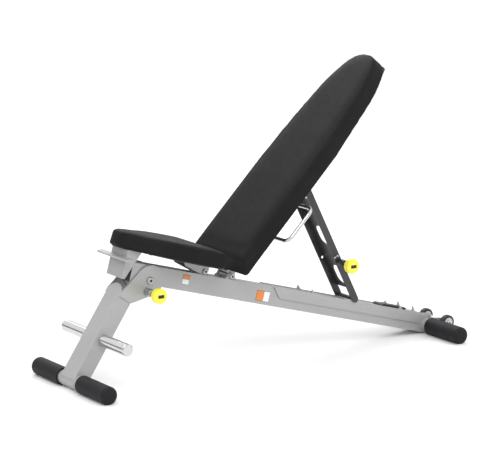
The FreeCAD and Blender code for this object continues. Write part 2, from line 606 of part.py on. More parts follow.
back_pad = new_body("back_pad", back_frame)
pad(back_pad, "back_cushion", "XY_Plane", "back_thick", [back_outline("0")], offset="pad_drop", side="One side")
back_upright = size["back_thick"]
round_edges(back_pad, "back_head_corners", "back_head_round",
            lambda box: near(box.ZLength, back_upright) and box.XMin > size["back_head"] - 1)
round_edges(back_pad, "back_foot_corners", "back_foot_round",
            lambda box: near(box.ZLength, back_upright) and box.XMax < size["back_foot"] + 1)
pocket(back_pad, "back_foot_slope", "XZ_Plane",
       [[("back_foot - 1", "pad_drop"), ("back_foot", "pad_drop"),
         ("back_foot + back_foot_slant", "pad_drop + back_thick"),
         ("back_foot + back_foot_slant", "pad_drop + back_thick + 1"),
         ("back_foot - 1", "pad_drop + back_thick + 1")]])
back_top = number("pad_drop + back_thick")
back_under = size["pad_drop"]
round_edges(back_pad, "back_top_round", "pad_round", lambda box: near(box.ZMin, back_top))
pocket(back_pad, "back_board_recess", "XY_Plane", [back_outline("board_inset")],
       length="board_thick", offset="pad_drop", reverse=True)

back_board = new_body("back_board", back_frame)
pad(back_board, "back_plywood", "XY_Plane", "board_thick", [back_outline("board_inset")],
    offset="pad_drop", side="One side")

spine = new_body("back_spine", back_frame)
pad(spine, "spine_tube", "YZ_Plane", "spine_length",
    tube_loops("spine_width", "spine_height", "spine_wall", "pad_drop"), side="One side")
pocket(spine, "hinge_saddle", "XZ_Plane", circles=[("0", "0", "hinge_tube_radius")])
pocket(spine, "prop_bolt_hole", "XZ_Plane", circles=[("prop_pivot_up", "prop_pivot_level", "small_bolt")])

hinge_tube = new_body("back_hinge_tube", back_frame)
pad(hinge_tube, "hinge_tube", "XZ_Plane", "2*hinge_tube_half",
    circles=[("0", "0", "hinge_tube_radius"), ("0", "0", "small_bolt + fit_gap")])


def handle_path(body):
    """The handle's centre line: out from the spine's right side, up along it, and back in."""
    path = sketch_on(body, "handle_path", "XY_Plane", "handle_level")
    low, high, out = size["handle_low"], size["handle_high"], -size["handle_reach"]
    root, bend = -size["spine_width"] / 2, size["handle_bend"]
    straights = [
        ((low, root), (low, out + bend), ("handle_low", "-spine_width/2"),
         ("handle_low", "handle_bend - handle_reach")),
        ((low + bend, out), (high - bend, out), ("handle_low + handle_bend", "-handle_reach"),
         ("handle_high - handle_bend", "-handle_reach")),
        ((high, out + bend), (high, root), ("handle_high", "handle_bend - handle_reach"),
         ("handle_high", "-spine_width/2")),
    ]
    for index, (begin, end, begin_text, end_text) in enumerate(straights):
        path.addGeometry(Part.LineSegment(Vector(*begin, 0), Vector(*end, 0)), False)
        hold(path, index, 1, *begin_text)
        hold(path, index, 2, *end_text)
    corners = (((low + bend, out + bend), math.pi), ((high - bend, out + bend), 1.5 * math.pi))
    for index, (centre, start) in enumerate(corners):
        circle = Part.Circle(Vector(*centre, 0), Vector(0, 0, 1), bend)
        arc = path.addGeometry(Part.ArcOfCircle(circle, start, start + math.pi / 2), False)
        path.addConstraint(Sketcher.Constraint("Coincident", index, 2, arc, 1))
        path.addConstraint(Sketcher.Constraint("Coincident", arc, 2, index + 1, 1))
        rule = path.addConstraint(Sketcher.Constraint("Radius", arc, bend))
        path.setExpression("Constraints[%d]" % rule, formula("handle_bend"))
    doc.recompute()
    return path


handle = new_body("back_handle", back_frame)
section = draw(handle, "handle_section", "XZ_Plane",
               circles=[("handle_low", "handle_level", "handle_radius")], offset="spine_width/2")
rod = handle.newObject("PartDesign::AdditivePipe", "handle_rod")
rod.Profile = section
rod.Spine = (handle_path(handle), [])
doc.recompute()

prop_pivot_frame = turned(prop_pivot, -size["back_angle"])
shoulder_bolt("prop_pivot_bolt", prop_pivot_frame, "small_bolt", "prop_half + side_gap")
for side, sign in SIDES:
    spacer = new_body("prop_spacer_" + side, prop_pivot_frame)
    pad(spacer, "spacer_tube_" + side, "XZ_Plane", "prop_half - prop_wall - side_gap - spine_width/2",
        circles=[("0", "0", "spacer_radius"), ("0", "0", "small_bolt")],
        offset=side_offset(sign, "spine_width/2", "prop_half - prop_wall - side_gap - spine_width/2"),
        side="One side")

# ------------------------------------------------------------------ prop

channel = new_body("prop_channel", prop_frame)
pad(channel, "channel_block", "XZ_Plane", "2*prop_half",
    [box_points("-prop_front", "0", "prop_back", "prop_length")])
for end, height in (("foot", "0"), ("head", "prop_length")):
    pad(channel, "channel_%s_ear" % end, "XZ_Plane", "2*prop_half", circles=[("0", height, "prop_back")])
pocket(channel, "channel_inside", "XZ_Plane",
       [box_points("-prop_front - 1", "-prop_back - 1", "prop_back - prop_wall", "prop_length + prop_back + 1")],
       length="2*(prop_half - prop_wall)")
pocket(channel, "foot_window", "XZ_Plane",
       [box_points("prop_back - prop_wall - 1", "-prop_back - 1", "prop_back + 1", "prop_web_low")],
       length="2*(prop_half - prop_wall)")
pocket(channel, "head_gap", "XZ_Plane",
       [box_points("prop_back - prop_wall - 1", "prop_length - prop_web_gap", "prop_back + 1",
                   "prop_length + prop_back + 1")], length="2*(prop_half - prop_wall)")
for name, centre in (("low", "prop_hole_low"), ("high", "prop_hole_high")):
    reach = "(prop_hole_long/2 - prop_hole_half)"
    pocket(channel, "oval_%s_waist" % name, "YZ_Plane",
           [box_points("-prop_hole_half", "%s - %s" % (centre, reach), "prop_hole_half",
                       "%s + %s" % (centre, reach))])
    for end, sign in (("under", "-"), ("over", "+")):
        pocket(channel, "oval_%s_%s" % (name, end), "YZ_Plane",
               circles=[("0", "%s %s %s" % (centre, sign, reach), "prop_hole_half")])
pocket(channel, "channel_bores", "XZ_Plane",
       circles=[("0", "0", "prop_bar_radius"), ("0", "prop_length", "small_bolt + fit_gap")])
pocket(channel, "channel_pin_bore", "XZ_Plane",
       circles=[("0", "prop_pin_up", "plunger_radius + fit_gap")])

foot_bar = new_body("prop_foot_bar", prop_frame)
pad(foot_bar, "foot_bar", "XZ_Plane", "2*prop_half", circles=[("0", "0", "prop_bar_radius")])

prop_pin_frame = turned(prop_frame.multVec(Vector(0, 0, size["prop_pin_up"])),
                        math.degrees(math.atan2(along_prop.x, along_prop.z)))
pull_pin("prop", prop_pin_frame, "prop_half", "prop_wall")

# ------------------------------------------------------------------ checks and files

doc.recompute()
failed = [item.Name for item in doc.Objects if "Invalid" in item.State or "Error" in item.State]
if failed:
    raise RuntimeError("failed objects: " + ", ".join(failed))
for body in bodies:
    if body.Shape.isNull() or not body.Shape.isValid() or not body.Shape.Solids:
        raise RuntimeError("%s has no valid solid" % body.Label)
os.makedirs("parts", exist_ok=True)
for body in bodies:
    body.Shape.exportStep(os.path.join("parts", body.Label + ".step"))
print("%d parts written" % len(bodies))
for name, point in (("leg pivot", leg_pivot), ("seat pivot", seat_pivot), ("back pivot", back_pivot),
                    ("prop pivot", prop_pivot), ("prop foot", prop_foot), ("wheel", wheel_centre),
                    ("foot-hold bar", bar_frame.Base), ("leg pin", pin_place.Base),
                    ("prop pin", prop_pin_frame.Base), ("front foot", front_foot), ("rear foot", rear_foot)):
    print("%-14s %9.2f %9.2f" % (name, point.x, point.z))
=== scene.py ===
import json
import logging
import math
from dataclasses import dataclass, field
from enum import Enum

import bmesh
import bpy
import numpy as np
from mathutils import Matrix, Vector
from mathutils.bvhtree import BVHTree


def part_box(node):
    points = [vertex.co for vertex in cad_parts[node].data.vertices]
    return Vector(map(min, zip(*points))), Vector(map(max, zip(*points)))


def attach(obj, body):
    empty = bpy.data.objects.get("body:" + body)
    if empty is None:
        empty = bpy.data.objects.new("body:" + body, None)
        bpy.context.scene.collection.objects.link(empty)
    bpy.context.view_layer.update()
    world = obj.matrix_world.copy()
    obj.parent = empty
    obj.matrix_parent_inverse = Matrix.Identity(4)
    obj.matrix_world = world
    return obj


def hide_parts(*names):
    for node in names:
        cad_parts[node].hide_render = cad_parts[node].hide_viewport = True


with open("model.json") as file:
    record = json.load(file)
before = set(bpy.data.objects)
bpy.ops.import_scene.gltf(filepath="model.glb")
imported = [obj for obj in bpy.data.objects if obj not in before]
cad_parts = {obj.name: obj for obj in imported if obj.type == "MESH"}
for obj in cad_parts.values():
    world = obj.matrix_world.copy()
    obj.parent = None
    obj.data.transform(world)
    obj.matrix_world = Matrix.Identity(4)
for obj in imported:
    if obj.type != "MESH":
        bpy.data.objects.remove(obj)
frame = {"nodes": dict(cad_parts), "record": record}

LOG = logging.getLogger("weight_bench")
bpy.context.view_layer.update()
MM = 0.001


class Body(Enum):
    """The moving bodies that new pieces ride on."""

    FRAME = "frame"
    LEG = "front_leg"
    LEG_PIN = "leg_pin"
    BACK = "backrest"
    PROP = "prop"
    PROP_PIN = "prop_pin"
    SEAT = "seat"


class Slot(Enum):
    """The record's material slots."""

    VINYL = "vinyl"
    BOARD = "board"
    RUBBER = "rubber"
    TYRE = "tyre"
    HUB = "hub_plastic"
    YELLOW = "yellow_plastic"
    CHROME = "chrome"
    BLACK_PLASTIC = "black_plastic"
    ZINC = "zinc"
    SILVER = "silver_paint"
    CHARCOAL = "charcoal_paint"


class Side(Enum):
    """A side of the bench, as the sign of Y."""

    LEFT = 1
    RIGHT = -1


# ---------------------------------------------------------------- shader building


def set_stops(ramp: bpy.types.ColorRamp, stops: list) -> None:
    """Sets a new ramp's stops.

    Args:
        ramp: a ramp that has its two first stops only.
        stops: each stop's place and its colour.
    """
    for index, (place, colour) in enumerate(stops):
        stop = ramp.elements[index] if index < 2 else ramp.elements.new(place)
        stop.position = place
        stop.color = (*colour, 1.0)


class Field:
    """A number that varies over a surface, with Python's operators adding its Math nodes."""

    def __init__(self, graph: "Graph", socket: bpy.types.NodeSocket) -> None:
        """Wraps one output socket of a graph."""
        self.graph = graph
        self.socket = socket

    def _math(self, operation: str, first: object, second: object) -> "Field":
        """Adds one Math node and returns its result."""
        return self.graph.node("ShaderNodeMath", {"operation": operation}, {0: first, 1: second})

    def __add__(self, other: object) -> "Field":
        """self + other."""
        return self._math("ADD", self, other)

    __radd__ = __add__

    def __mul__(self, other: object) -> "Field":
        """self * other."""
        return self._math("MULTIPLY", self, other)

    __rmul__ = __mul__

    def __pow__(self, other: object) -> "Field":
        """self to a power."""
        return self._math("POWER", self, other)


class Graph:
    """The node tree of one material."""

    def __init__(self, name: str) -> None:
        """Starts a material that has only a Principled shader and its output."""
        self.material = bpy.data.materials.new(name)
        self.material.use_nodes = True
        self.tree = self.material.node_tree
        self.shader = self.tree.nodes["Principled BSDF"]

    def node(self, kind: str, settings: dict, inputs: dict, output: object = 0) -> Field:
        """Adds a node.

        Args:
            kind: the node's type.
            settings: its properties, which are set first; "stops" holds a ramp's places and colours.
            inputs: values or fields for its sockets, by name or number.
            output: the socket to return, by name or number.

        Returns:
            The chosen output.
        """
        made = self.tree.nodes.new(kind)
        for key, value in settings.items():
            if key == "stops":
                set_stops(made.color_ramp, value)
            else:
                setattr(made, key, value)
        for key, value in inputs.items():
            self.feed(made.inputs[key], value)
        return Field(self, made.outputs[output])

    def feed(self, socket: bpy.types.NodeSocket, value: object) -> None:
        """Links a field to a socket, or sets the socket's own value.

        Args:
            socket: the input socket.
            value: a field, a number, a vector or a colour.
        """
        if isinstance(value, Field):
            self.tree.links.new(value.socket, socket)
        else:
            socket.default_value = value

    def place(self, stretch: tuple = (1.0, 1.0, 1.0)) -> Field:
        """Object coordinates, stretched along each axis."""
        point = self.node("ShaderNodeTexCoord", {}, {}, "Object")
        return self.node("ShaderNodeMapping", {}, {"Vector": point, "Scale": stretch})

    def noise(self, scale: float, detail: float = 3.0, stretch: tuple = (1.0, 1.0, 1.0)) -> Field:
        """Soft noise, with a scale in cells to the metre."""
        return self.node("ShaderNodeTexNoise", {},
                         {"Vector": self.place(stretch), "Scale": scale, "Detail": detail})

    def cells(self, scale: float) -> Field:
        """The distance to the edges of a pattern of cells, as of pores."""
        return self.node("ShaderNodeTexVoronoi", {"feature": "DISTANCE_TO_EDGE"},
                         {"Vector": self.place(), "Scale": scale})

    def blend(self, factor: Field, low: tuple, high: tuple) -> Field:
        """A colour that runs from low to high with the factor."""
        stops = [(0.25, low), (0.75, high)]
        return self.node("ShaderNodeValToRGB", {"stops": stops}, {0: factor})

    def bump(self, height: Field, depth: float, strength: float) -> Field:
        """A normal roughened by a height field, with a depth in metres."""
        return self.node("ShaderNodeBump", {}, {"Height": height, "Distance": depth, "Strength": strength})

    def dress(self, **sockets: object) -> bpy.types.Material:
        """Feeds the shader's sockets.

        Args:
            sockets: what each socket gets, under its name with underscores for spaces.

        Returns:
            The material.
        """
        for key, value in sockets.items():
            self.feed(self.shader.inputs[key.replace("_", " ")], value)
        return self.material


def shade(grey: float, tint: tuple = (1.0, 1.0, 1.0)) -> tuple:
    """A tinted grey."""
    return tuple(grey * part for part in tint)


@dataclass(frozen=True)
class Vinyl:
    """Upholstery vinyl: near black, with a fine pebbled grain and slight handling sheen."""

    name: str = "pebbled_vinyl"
    dark: float = 0.009
    light: float = 0.013
    grain: float = 620.0

    def make(self) -> bpy.types.Material:
        """Makes the material.

        Returns:
            The new material.
        """
        graph = Graph(self.name)
        clouds = graph.noise(9.0, 5.0)
        pores = graph.cells(self.grain) ** 0.6
        rough = graph.noise(40.0) * 0.16 + 0.44
        relief = pores * 0.7 + graph.noise(180.0) * 0.3
        return graph.dress(
            Base_Color=graph.blend(clouds, shade(self.dark), shade(self.light, (1.0, 1.0, 1.03))),
            Roughness=rough, Normal=graph.bump(relief, 0.0006, 0.55), Specular_IOR_Level=0.1)


@dataclass(frozen=True)
class Paint:
    """Powder coat: an orange-peel skin with fine metal flake."""

    name: str
    grey: float
    flake: float
    roughness: float
    tint: tuple = (1.0, 1.0, 1.0)

    def make(self) -> bpy.types.Material:
        """Makes the material.

        Returns:
            The new material.
        """
        graph = Graph(self.name)
        speckle = graph.noise(2600.0, 1.0) * 0.6 + graph.noise(14.0, 4.0) * 0.4
        peel = graph.noise(420.0, 2.0)
        rough = graph.noise(60.0, 4.0) * 0.14 + (self.roughness - 0.07)
        low, high = shade(self.grey * 0.9, self.tint), shade(self.grey * 1.1, self.tint)
        return graph.dress(
            Base_Color=graph.blend(speckle, low, high), Metallic=self.flake, Roughness=rough,
            Normal=graph.bump(peel, 0.0002, 0.35))


@dataclass(frozen=True)
class Plate:
    """Bright plated or bare metal, with faint rubbed streaks along Y."""

    name: str
    grey: float
    roughness: float
    streak: float

    def make(self) -> bpy.types.Material:
        """Makes the material.

        Returns:
            The new material.
        """
        graph = Graph(self.name)
        streaks = graph.noise(160.0, 4.0, (1.0, 0.05, 1.0))
        rough = streaks * self.streak + self.roughness
        smudge = graph.noise(22.0, 4.0)
        return graph.dress(
            Base_Color=graph.blend(smudge, shade(self.grey * 0.93), shade(self.grey)),
            Metallic=1.0, Roughness=rough, Normal=graph.bump(streaks, 0.0001, 0.2))


@dataclass(frozen=True)
class Moulded:
    """Moulded plastic, rubber or foam, with a stippled skin."""

    name: str
    low: tuple
    high: tuple
    roughness: float
    stipple: float
    depth: float
    coat: float = 0.0
    shine: float = 0.5

    def make(self) -> bpy.types.Material:
        """Makes the material.

        Returns:
            The new material.
        """
        graph = Graph(self.name)
        clouds = graph.noise(30.0, 4.0)
        stipple = graph.noise(self.stipple, 3.0)
        rough = graph.noise(90.0) * 0.12 + (self.roughness - 0.06)
        return graph.dress(
            Base_Color=graph.blend(clouds, self.low, self.high), Roughness=rough, Coat_Weight=self.coat,
            Normal=graph.bump(stipple, self.depth, 0.5), Specular_IOR_Level=self.shine)


@dataclass(frozen=True)
class Plywood:
    """Black-stained plywood with its grain showing faintly."""

    name: str = "stained_plywood"

    def make(self) -> bpy.types.Material:
        """Makes the material.

        Returns:
            The new material.
        """
        graph = Graph(self.name)
        grain = graph.noise(90.0, 6.0, (0.08, 1.0, 0.08))
        return graph.dress(
            Base_Color=graph.blend(grain, (0.012, 0.011, 0.010), (0.040, 0.034, 0.029)),
            Roughness=grain * 0.2 + 0.55, Normal=graph.bump(grain, 0.0004, 0.5))


FINISHES = {
    Slot.VINYL: Vinyl(),
    Slot.BOARD: Plywood(),
    Slot.RUBBER: Moulded("foot_rubber", shade(0.008, (1.0, 1.0, 1.2)), shade(0.011, (1.0, 1.0, 1.2)),
                         0.62, 900.0, 0.0005, shine=0.25),
    Slot.TYRE: Moulded("tyre_rubber", shade(0.012), shade(0.020), 0.55, 700.0, 0.0004),
    Slot.HUB: Moulded("hub_plastic", shade(0.50), shade(0.58), 0.45, 800.0, 0.0002),
    Slot.YELLOW: Moulded("yellow_knob", (0.86, 0.78, 0.045), (0.93, 0.86, 0.06), 0.34, 500.0, 0.0001, 0.3),
    Slot.CHROME: Plate("chrome", 0.62, 0.12, 0.08),
    Slot.BLACK_PLASTIC: Moulded("black_plastic", shade(0.010), shade(0.016), 0.45, 900.0, 0.0003),
    Slot.ZINC: Plate("zinc", 0.45, 0.28, 0.16),
    Slot.SILVER: Paint("silver_powder_coat", 0.385, 0.30, 0.42, (1.0, 1.0, 1.01)),
    Slot.CHARCOAL: Paint("charcoal_powder_coat", 0.052, 0.35, 0.42, (1.0, 1.0, 1.04)),
}


@dataclass
class Palette:
    """The finished materials, each made once."""

    materials: dict = field(default_factory=dict)

    def get(self, slot: Slot) -> bpy.types.Material:
        """Finds or makes a material.

        Args:
            slot: the record's slot.

        Returns:
            The slot's material, made once.
        """
        if slot not in self.materials:
            self.materials[slot] = FINISHES[slot].make()
        return self.materials[slot]

    def dress_frame(self) -> None:
        """Gives every node of the CAD frame the finish of its slot."""
        for entry in frame["record"]["subparts"]:
            node = frame["nodes"][entry["node"]]
            node.data.materials.clear()
            node.data.materials.append(self.get(Slot(entry["material_slot"])))


# ---------------------------------------------------------------- places


def middle_of(node: str) -> Vector:
    """The middle of a CAD node's box."""
    low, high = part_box(node)
    return (Vector(low) + Vector(high)) / 2


def joint_place(name: str) -> Vector:
    """Where a joint's axis crosses the bench's middle plane."""
    joints = frame["record"]["behaviour"]["joints"]
    return Vector([joint["pos_m"] for joint in joints if joint["name"] == name][0])


def turned(origin: Vector, degrees: float) -> Matrix:
    """A frame turned about Y: a positive angle tips its X axis downwards."""
    return Matrix.Translation(origin) @ Matrix.Rotation(math.radians(degrees), 4, "Y")


@dataclass(frozen=True)
class Places:
    """The bench's tilted frames, worked out from its joints and its CAD nodes."""

    rail_slope: float = 15.6
    rail_rise: float = 35.4 * MM
    back_angle: float = 45.4
    rail_half_width: float = 40.0 * MM

    @property
    def rail(self) -> Matrix:
        """The rail's frame.

        Returns:
            A place on the rail's top face over the rear foot, X down the rail to the rear.
        """
        slope = math.radians(self.rail_slope)
        rise = Vector((math.sin(slope), 0.0, math.cos(slope))) * self.rail_rise
        return turned(middle_of("rear_foot_tube") + rise, self.rail_slope)

    @property
    def back(self) -> Matrix:
        """On the backrest's pivot, X up the backrest and Z towards the sitter."""
        return turned(joint_place("backrest_tilt"), -self.back_angle)

    @property
    def prop(self) -> Matrix:
        """The prop's frame.

        Returns:
            A place on the prop's foot bar, Z up the prop.
        """
        foot = middle_of("prop_foot_bar")
        along = joint_place("prop_swing") - foot
        return turned(foot, math.degrees(math.atan2(along.x, along.z)))


# ---------------------------------------------------------------- making pieces


@dataclass
class Workshop:
    """Turns finished bmeshes into placed, dressed and riding pieces."""

    palette: Palette
    count: int = 0

    def add(self, shape: bmesh.types.BMesh, name: str, place: Matrix, body: Body, slot: Slot,
            sharp: float = 32.0) -> bpy.types.Object:
        """Makes a piece.

        Args:
            shape: the shape in its own frame; it is used up.
            name: the piece's name.
            place: the frame that it sits in.
            body: the body that it rides on.
            slot: the material slot of its finish.
            sharp: edges sharper than this many degrees stay crisp.

        Returns:
            The new object.
        """
        bmesh.ops.transform(shape, matrix=place, verts=shape.verts)
        bmesh.ops.recalc_face_normals(shape, faces=shape.faces)
        mesh = bpy.data.meshes.new(name)
        shape.to_mesh(mesh)
        shape.free()
        mesh.shade_smooth()
        mesh.set_sharp_from_angle(angle=math.radians(sharp))
        return self.place_mesh(mesh, name, body, slot)

    def place_mesh(self, mesh: bpy.types.Mesh, name: str, body: Body, slot: Slot) -> bpy.types.Object:
        """Links a mesh that is already in place, parents it to its body's empty and gives it its slot's
        finish.

        Args:
            mesh: the finished mesh, in the bench's own coordinates.
            name: the piece's name.
            body: the body that it rides on.
            slot: the material slot of its finish.

        Returns:
            The new object.
        """
        made = bpy.data.objects.new(name, mesh)
        bpy.context.scene.collection.objects.link(made)
        mesh.materials.clear()
        mesh.materials.append(self.palette.get(slot))
        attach(made, body.value)
        self.count += 1
        LOG.info("%s: %d faces on %s", name, len(mesh.polygons), body.value)
        return made


def cross_turn(side: Side) -> Matrix:
    """Turns a shape made along Z so that it points out of a side of the bench."""
    return Matrix.Rotation(math.radians(-90.0 * side.value), 4, "X")


def bevel_all(shape: bmesh.types.BMesh, edges: list, offset: float, segments: int = 3) -> None:
    """Rounds some edges of a shape."""
    bmesh.ops.bevel(shape, geom=edges, offset=offset, segments=segments, profile=0.5, affect="EDGES",
                    material=-1, clamp_overlap=True)


def prism(sides: int, radius: float, depth: float, edge: float) -> bmesh.types.BMesh:
    """A right prism on Z, with its far rim rounded.

    Args:
        sides: the number of sides.
        radius: from the middle to a corner.
        depth: its length, from 0 up.
        edge: how far the far rim is rounded.

    Returns:
        The new shape.
    """
    shape = bmesh.new()
    bmesh.ops.create_cone(shape, cap_ends=True, segments=sides, radius1=radius, radius2=radius, depth=depth)
    bmesh.ops.translate(shape, vec=(0, 0, depth / 2), verts=shape.verts)
    rim = [line for line in shape.edges if all(vert.co.z > depth * 0.99 for vert in line.verts)]
    bevel_all(shape, rim, edge)
    return shape


def block(size: tuple, edge: float) -> bmesh.types.BMesh:
    """A block centred on the origin with every edge rounded.

    Args:
        size: its length along each axis.
        edge: how far its edges are rounded.

    Returns:
        The new shape.
    """
    shape = bmesh.new()
    bmesh.ops.create_cube(shape, size=1.0)
    bmesh.ops.scale(shape, vec=size, verts=shape.verts)
    bevel_all(shape, shape.edges[:], edge)
    return shape


def ring(radius: float, wire: float, steps: int = 56) -> bmesh.types.BMesh:
    """A ring round the Z axis.

    Args:
        radius: to the middle of the wire.
        wire: the wire's own radius.
        steps: how many lengths the ring is made of.

    Returns:
        The new shape.
    """
    shape = bmesh.new()
    section = Matrix.Translation((radius, 0, 0)) @ Matrix.Rotation(math.pi / 2, 4, "X")
    bmesh.ops.create_circle(shape, cap_ends=False, segments=10, radius=wire, matrix=section)
    bmesh.ops.spin(shape, geom=shape.verts[:] + shape.edges[:], cent=(0, 0, 0), axis=(0, 0, 1),
                   angle=math.tau, steps=steps, use_merge=True)
    return shape


# ---------------------------------------------------------------- cushions

# A cushion's outline starts this far in, because its filling swells it.
CUSHION_GAP = 1.0 * MM


@dataclass
class Cushion:
    """A foam pad in stretched vinyl on a board, with a stitched seam round its top edge.

    The outline lies at the base, and each of its points is X, Y and how far its corner is rounded. The
    slant is how far the pad's foot leans, and most_swell caps how far the filling moves any point.
    """

    name: str
    node: str
    body: Body
    place: Matrix
    outline: list
    base: float
    height: float
    edge: float
    slant: float = 0.0
    sill_share: float = 0.4
    seam_share: float = 0.35
    voxel: float = 6.0 * MM
    held_voxels: float = 1.4
    most_swell: float = 5.0 * MM
    pressure: float = 4.0
    steps: int = 20
    level_slack: float = 0.1 * MM
    seam_wire: float = 1.3 * MM
    fill: float = 0.9

    def block_out(self) -> bmesh.types.BMesh:
        """Makes the pad before it is filled.

        Returns:
            Its outline with rounded corners, raised and rounded over.
        """
        shape = bmesh.new()
        corners = [(shape.verts.new((x, y, self.base)), reach) for x, y, reach in self.outline]
        shape.faces.new([vert for vert, reach in corners])
        for vert, reach in corners:
            bmesh.ops.bevel(shape, geom=[vert], offset=reach, segments=8, profile=0.5, affect="VERTICES",
                            material=-1, clamp_overlap=True)
        risen = bmesh.ops.extrude_face_region(shape, geom=shape.faces[:])["geom"]
        top = [item for item in risen if isinstance(item, bmesh.types.BMVert)]
        bmesh.ops.translate(shape, vec=(0, 0, self.height), verts=top)
        if self.slant:
            foot = min(vert.co.x for vert in shape.verts)
            cut = Vector((-self.height, 0.0, self.slant)).normalized()
            bmesh.ops.bisect_plane(shape, geom=shape.verts[:] + shape.edges[:] + shape.faces[:],
                                   plane_co=(foot, 0, self.base), plane_no=cut, clear_outer=True)
            bmesh.ops.holes_fill(shape, edges=[line for line in shape.edges if line.is_boundary], sides=0)
        crest = self.base + self.height
        rim = [line for line in shape.edges
               if all(vert.co.z > crest - self.level_slack for vert in line.verts)]
        bevel_all(shape, rim, self.edge, 5)
        sill = [line for line in shape.edges
                if all(vert.co.z < self.base + self.level_slack for vert in line.verts)]
        bevel_all(shape, sill, self.edge * self.sill_share)
        bmesh.ops.recalc_face_normals(shape, faces=shape.faces)
        return shape

    def swell(self, made: bpy.types.Object) -> None:
        """Fills the pad with air as cloth held at its base, then caps how far each point has moved.

        Args:
            made: the pad's working object, whose mesh is replaced.
        """
        scene = bpy.context.scene
        remesh = made.modifiers.new("even", "REMESH")
        remesh.mode = "VOXEL"
        remesh.voxel_size = self.voxel
        made.data = self.evaluated(made)
        made.modifiers.clear()
        start = [vert.co.copy() for vert in made.data.vertices]
        held = made.vertex_groups.new(name="held")
        held_under = self.base + self.voxel * self.held_voxels
        held.add([index for index, spot in enumerate(start) if spot.z < held_under], 1.0, "REPLACE")
        cloth = made.modifiers.new("filling", "CLOTH")
        cloth.settings.use_pressure = True
        cloth.settings.uniform_pressure_force = self.pressure
        cloth.settings.effector_weights.gravity = 0.0
        cloth.settings.vertex_group_mass = held.name
        for step in range(1, self.steps + 1):
            scene.frame_set(step)
        swollen = self.evaluated(made)
        made.modifiers.clear()
        origins = np.array([list(spot) for spot in start])
        moves = np.array([list(vert.co) for vert in swollen.vertices]) - origins
        moves = self.evened(swollen, moves)
        lengths = np.linalg.norm(moves, axis=1, keepdims=True)
        moves *= np.minimum(1.0, self.most_swell / np.maximum(lengths, 1e-9))
        swollen.vertices.foreach_set("co", (origins + moves).ravel())
        made.data = swollen
        made.vertex_groups.clear()
        scene.frame_set(1)

    @staticmethod
    def evened(mesh: bpy.types.Mesh, moves: np.ndarray, rounds: int = 40) -> np.ndarray:
        """Averages each point's move with its neighbours', so that the vinyl has no creases.

        Args:
            mesh: the mesh whose edges say which points are neighbours.
            moves: each point's move.
            rounds: how often the average is taken.

        Returns:
            The even moves.
        """
        ends = np.empty(len(mesh.edges) * 2, dtype=np.int32)
        mesh.edges.foreach_get("vertices", ends)
        first, second = ends[0::2], ends[1::2]
        count = 1.0 + np.bincount(ends, minlength=len(moves))
        for _ in range(rounds):
            total = moves.copy()
            for axis in range(3):
                total[:, axis] += np.bincount(first, moves[second, axis], len(moves))
                total[:, axis] += np.bincount(second, moves[first, axis], len(moves))
            moves = total / count[:, None]
        return moves

    @staticmethod
    def evaluated(made: bpy.types.Object) -> bpy.types.Mesh:
        """A copy of an object's mesh with its modifiers applied."""
        graph = bpy.context.evaluated_depsgraph_get()
        return bpy.data.meshes.new_from_object(made.evaluated_get(graph))

    @staticmethod
    def relax(mesh: bpy.types.Mesh, rounds: int) -> None:
        """Evens out a filled pad's surface.

        Args:
            mesh: the filled pad.
            rounds: how often it is smoothed.
        """
        shape = bmesh.new()
        shape.from_mesh(mesh)
        for _ in range(rounds):
            bmesh.ops.smooth_vert(shape, verts=shape.verts, factor=0.5,
                                  use_axis_x=True, use_axis_y=True, use_axis_z=True)
        shape.to_mesh(mesh)
        shape.free()

    def seam(self, mesh: bpy.types.Mesh) -> bpy.types.Mesh:
        """Makes the stitched ridge round the shoulder of the pad's top edge.

        Args:
            mesh: the filled pad, on whose surface the ridge lies.

        Returns:
            The ridge's mesh.
        """
        level = self.base + self.height - self.edge * self.seam_share
        shape = bmesh.new()
        shape.from_mesh(mesh)
        tree = BVHTree.FromBMesh(shape)
        shape.free()
        outer = self.block_out()
        cut = bmesh.ops.bisect_plane(outer, geom=outer.verts[:] + outer.edges[:] + outer.faces[:],
                                     plane_co=(0, 0, level), plane_no=(0, 0, 1))["geom_cut"]
        lines = [item for item in cut if isinstance(item, bmesh.types.BMEdge)]
        walk = self.in_order(lines)
        outer.free()
        curve = bpy.data.curves.new(self.name + "_seam", "CURVE")
        curve.dimensions = "3D"
        curve.bevel_depth = self.seam_wire
        curve.bevel_resolution = 2
        line = curve.splines.new("POLY")
        line.points.add(len(walk) - 1)
        for point, spot in zip(line.points, walk):
            nearest = tree.find_nearest(spot)[0]
            point.co = (*nearest, 1.0)
        line.use_cyclic_u = True
        holder = bpy.data.objects.new(self.name + "_seam_line", curve)
        bpy.context.scene.collection.objects.link(holder)
        made = self.evaluated(holder)
        bpy.data.objects.remove(holder)
        return made

    @staticmethod
    def in_order(lines: list, step: float = 6.0 * MM) -> list:
        """Walks round a closed loop of edges.

        Args:
            lines: the loop's edges, in any order.
            step: about how far apart the points are.

        Returns:
            The loop's points in order, closely spaced.
        """
        loop = []
        vert = lines[0].verts[0]
        left = set(lines)
        while left:
            line = next((item for item in vert.link_edges if item in left), None)
            if line is None:
                break
            left.discard(line)
            other = line.other_vert(vert)
            pieces = max(1, round((other.co - vert.co).length / step))
            loop += [vert.co.lerp(other.co, part / pieces) for part in range(pieces)]
            vert = other
        return loop

